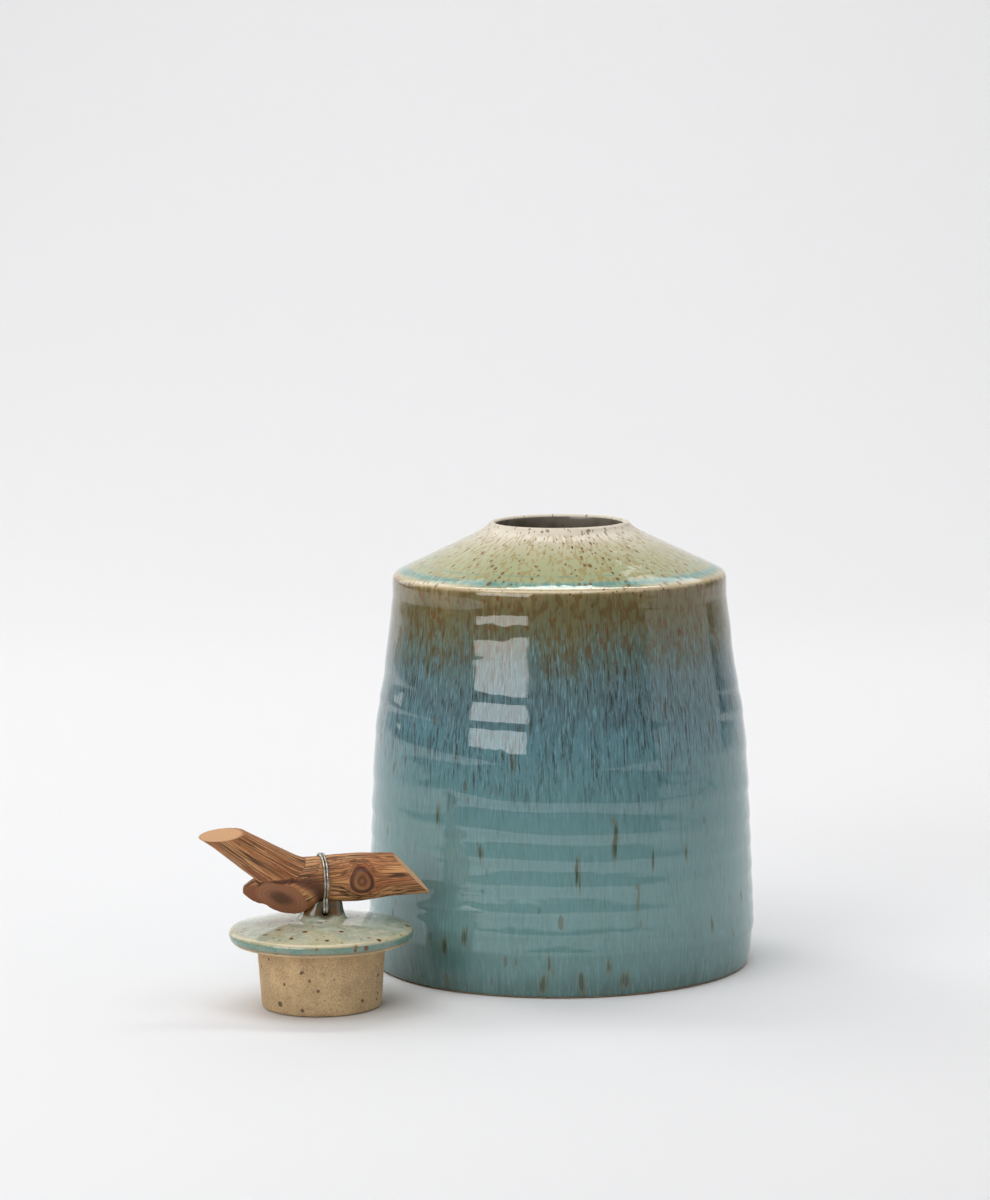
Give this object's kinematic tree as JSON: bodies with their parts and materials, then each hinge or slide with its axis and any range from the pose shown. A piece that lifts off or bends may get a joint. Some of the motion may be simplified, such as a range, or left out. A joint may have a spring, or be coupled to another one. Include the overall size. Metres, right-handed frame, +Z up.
{
  "type": "lidded stoneware storage jar",
  "caption": "Round wheel-thrown storage jar with a conical shoulder and narrow mouth, and its plug lid with a wired-on twig handle.",
  "frame": {"origin": "middle of the jar's foot, on the surface that the jar and its lid stand on", "axes": "+Z up along the jar's axis; +X to the right and +Y to the back as seen from the side where the lid stands at the front left"},
  "size_m": [0.2365, 0.2123, 0.1938],
  "materials": {
    "jar_glaze": "glossy blue-green glaze with iron streaks",
    "lid_glaze": "glossy pale green glaze over a bare buff plug",
    "twig_wood": "debarked, lightly polished",
    "wire_steel": "bright drawn wire"
  },
  "bodies": {
    "jar": {"jar": "jar_glaze"},
    "lid": {"lid": "lid_glaze", "twig_handle": "twig_wood", "binding_wire": "wire_steel"}
  },
  "joints": [
    {"name": "lid_lift", "type": "slide", "parent": "jar", "child": "lid", "axis": [0, 0, 1], "range_m": [0, 0.26]}
  ]
}
